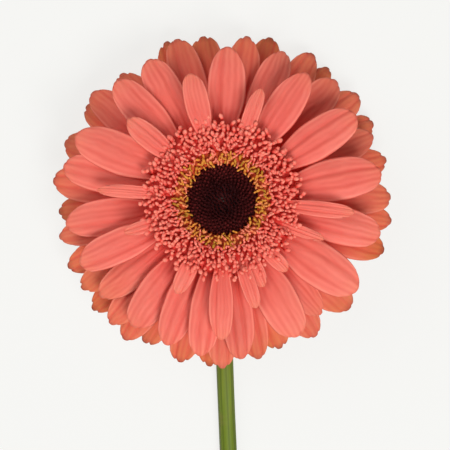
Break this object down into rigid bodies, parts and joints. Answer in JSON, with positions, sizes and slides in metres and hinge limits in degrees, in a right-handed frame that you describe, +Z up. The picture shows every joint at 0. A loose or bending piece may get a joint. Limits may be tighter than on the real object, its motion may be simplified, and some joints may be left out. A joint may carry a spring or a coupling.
{
  "type": "cut gerbera",
  "caption": "Cut gerbera lying face up: coral ray florets round a ring of disc florets and a dark centre, on a leafless green stem.",
  "frame": {"origin": "on the surface the flower lies on, under the middle of its whole box", "axes": "+Y from the cut end of the stem to the head, +Z up, the way the head faces, +X to the right"},
  "size_m": [0.1112, 0.4276, 0.0444],
  "materials": {
    "stem": "matte, finely ribbed and downy green",
    "bracts": "matte, downy green",
    "ray": "satin coral petal with fine lengthwise veins",
    "florets": "satin coral",
    "anthers": "matte golden olive",
    "buds": "matte maroon black"
  },
  "bodies": {
    "root": {"anther_ring": "anthers", "disc_buds": "buds", "disc_florets": "florets", "front_ray_01": "ray", "front_ray_02": "ray", "front_ray_03": "ray", "front_ray_04": "ray", "front_ray_05": "ray", "front_ray_06": "ray", "front_ray_07": "ray", "front_ray_08": "ray", "front_ray_09": "ray", "front_ray_10": "ray", "front_ray_11": "ray", "front_ray_12": "ray", "front_ray_13": "ray", "front_ray_14": "ray", "front_ray_15": "ray", "front_ray_16": "ray", "involucre": "bracts", "middle_ray_01": "ray", "middle_ray_02": "ray", "middle_ray_03": "ray", "middle_ray_04": "ray", "middle_ray_05": "ray", "middle_ray_06": "ray", "middle_ray_07": "ray", "middle_ray_08": "ray", "middle_ray_09": "ray", "middle_ray_10": "ray", "middle_ray_11": "ray", "middle_ray_12": "ray", "middle_ray_13": "ray", "middle_ray_14": "ray", "middle_ray_15": "ray", "outer_ray_01": "ray", "outer_ray_02": "ray", "outer_ray_03": "ray", "outer_ray_04": "ray", "outer_ray_05": "ray", "outer_ray_06": "ray", "outer_ray_07": "ray", "outer_ray_08": "ray", "outer_ray_09": "ray", "outer_ray_10": "ray", "outer_ray_11": "ray", "outer_ray_12": "ray", "outer_ray_13": "ray", "outer_ray_14": "ray", "outer_ray_15": "ray", "outer_ray_16": "ray", "outer_ray_17": "ray", "outer_ray_18": "ray", "outer_ray_19": "ray", "outer_ray_20": "ray", "outer_ray_21": "ray", "outer_ray_22": "ray", "outer_ray_23": "ray", "outer_ray_24": "ray", "stem": "stem"}
  },
  "joints": []
}
